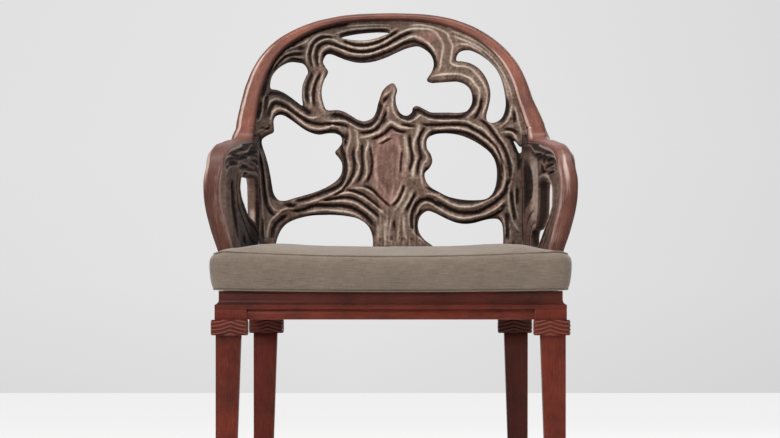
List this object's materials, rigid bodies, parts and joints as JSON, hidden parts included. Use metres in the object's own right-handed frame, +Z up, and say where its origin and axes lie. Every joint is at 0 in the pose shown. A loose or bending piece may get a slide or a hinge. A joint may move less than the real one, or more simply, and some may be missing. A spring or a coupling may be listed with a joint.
{
  "type": "armchair",
  "caption": "Armchair with a bowed rail over an openwork carved back, carved arm panels, tapered square legs and a loose box cushion.",
  "frame": {"origin": "on the floor, under the middle of the chair's overall width and depth", "axes": "+X to the right seen from the front, +Y to the back, +Z up"},
  "size_m": [0.6232, 0.5791, 0.8978],
  "materials": {
    "lacquered_rail": "satin red lacquer, worn at the edges",
    "lacquered_frame": "satin deep red lacquer",
    "carved_wood": "carved, dark in the grooves and rubbed pale on the crests",
    "plain_wood": "unfinished",
    "screw_steel": "plain",
    "glide_nylon": "matt",
    "linen": "woven, slubby grey-brown linen",
    "foam": "open cell seat foam",
    "zip_tape": "woven tape"
  },
  "bodies": {
    "chair": {"back_bow": "lacquered_rail", "carved_back": "carved_wood", "front_frame_rail": "lacquered_frame", "front_left_corner_block": "plain_wood", "front_left_corner_screw": "screw_steel", "front_left_glide": "glide_nylon", "front_left_leg": "lacquered_frame", "front_right_corner_block": "plain_wood", "front_right_corner_screw": "screw_steel", "front_right_glide": "glide_nylon", "front_right_leg": "lacquered_frame", "front_under_rail": "lacquered_frame", "left_arm": "lacquered_rail", "left_arm_panel": "carved_wood", "left_back_dowel": "plain_wood", "left_bow_dowel": "plain_wood", "left_frame_rail": "lacquered_frame", "left_post_dowel": "plain_wood", "left_under_rail": "lacquered_frame", "rear_frame_rail": "lacquered_frame", "rear_left_corner_block": "plain_wood", "rear_left_corner_screw": "screw_steel", "rear_left_glide": "glide_nylon", "rear_left_leg": "lacquered_frame", "rear_right_corner_block": "plain_wood", "rear_right_corner_screw": "screw_steel", "rear_right_glide": "glide_nylon", "rear_right_leg": "lacquered_frame", "rear_under_rail": "lacquered_frame", "right_arm": "lacquered_rail", "right_arm_panel": "carved_wood", "right_back_dowel": "plain_wood", "right_bow_dowel": "plain_wood", "right_frame_rail": "lacquered_frame", "right_post_dowel": "plain_wood", "right_under_rail": "lacquered_frame", "seat_board": "plain_wood"},
    "cushion": {"cushion_bottom_welt": "linen", "cushion_cover": "linen", "cushion_foam": "foam", "cushion_top_welt": "linen", "cushion_zip": "zip_tape"}
  },
  "joints": [
    {"name": "cushion_lift", "type": "slide", "parent": "chair", "child": "cushion", "axis": [0, 0, 1], "range_m": [0, 0.55]}
  ]
}
